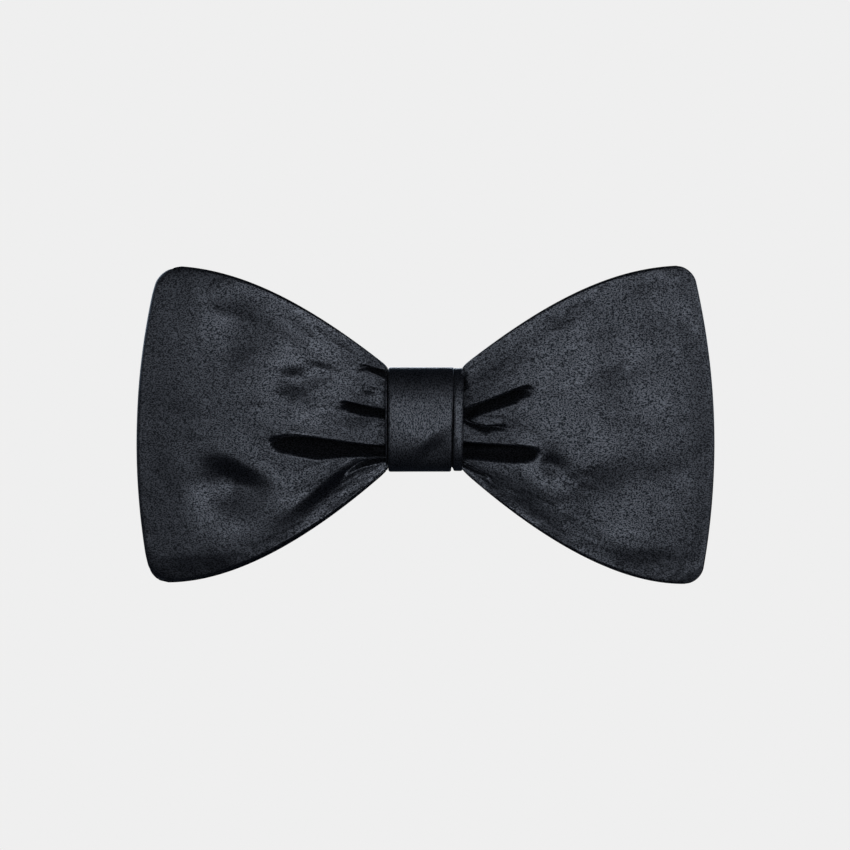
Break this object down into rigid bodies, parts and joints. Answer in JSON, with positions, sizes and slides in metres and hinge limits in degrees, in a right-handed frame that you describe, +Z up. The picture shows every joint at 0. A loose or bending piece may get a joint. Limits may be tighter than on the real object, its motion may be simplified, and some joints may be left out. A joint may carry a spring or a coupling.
{
  "type": "bow tie",
  "caption": "Pre-tied satin bow tie: two folded blades behind a wrapped knot, on an adjustable neck band with slider, hook and eye.",
  "frame": {"origin": "centre of the knot's flat back face, which rests on the front of the collar", "axes": "+X to the right of someone looking at the bow, +Y from the bow towards the wearer's neck, +Z up"},
  "size_m": [0.1201, 0.1325, 0.0658],
  "materials": {
    "satin": "black dress satin with a soft anisotropic sheen",
    "interlining": "unbleached woven interlining",
    "fitting": "nickel-plated pressed steel",
    "label": "plain woven label with no text"
  },
  "bodies": {
    "root": {"front_blade_face": "satin", "front_blade_interlining": "interlining", "front_blade_lining": "satin", "rear_blade_face": "satin", "rear_blade_interlining": "interlining", "rear_blade_lining": "satin", "knot_wrap_over": "satin", "knot_wrap_under": "satin", "knot_interlining": "interlining", "left_band_cover": "satin", "left_band_interlining": "interlining", "left_band_return": "satin", "right_band_cover": "satin", "right_band_interlining": "interlining", "inside_label": "label"},
    "slider": {"slider": "fitting", "left_band_slider_loop": "satin"},
    "hook": {"hook": "fitting"},
    "right_band_end": {"right_band_end": "satin"},
    "eye": {"eye": "fitting"}
  },
  "joints": [
    {"name": "adjuster_slide", "type": "hinge", "parent": "root", "child": "slider", "pos_m": [0.02999, 0.05998, 0], "axis": [0, 0, -1], "range_deg": [-12, 16], "deforming": ["left_band_return"]},
    {"name": "hook_swivel", "type": "hinge", "parent": "root", "child": "hook", "pos_m": [-0.0185, 0.11571, 0], "axis": [0, 0, -1], "range_deg": [0, 60]},
    {"name": "clasp_open", "type": "hinge", "parent": "root", "child": "right_band_end", "pos_m": [0.0205, 0.11686, 0], "axis": [0, 0, -1], "range_deg": [0, 75]},
    {"name": "eye_swivel", "type": "hinge", "parent": "right_band_end", "child": "eye", "pos_m": [0.0028, 0.11691, 0], "axis": [0, 0, -1], "range_deg": [0, 60]}
  ]
}
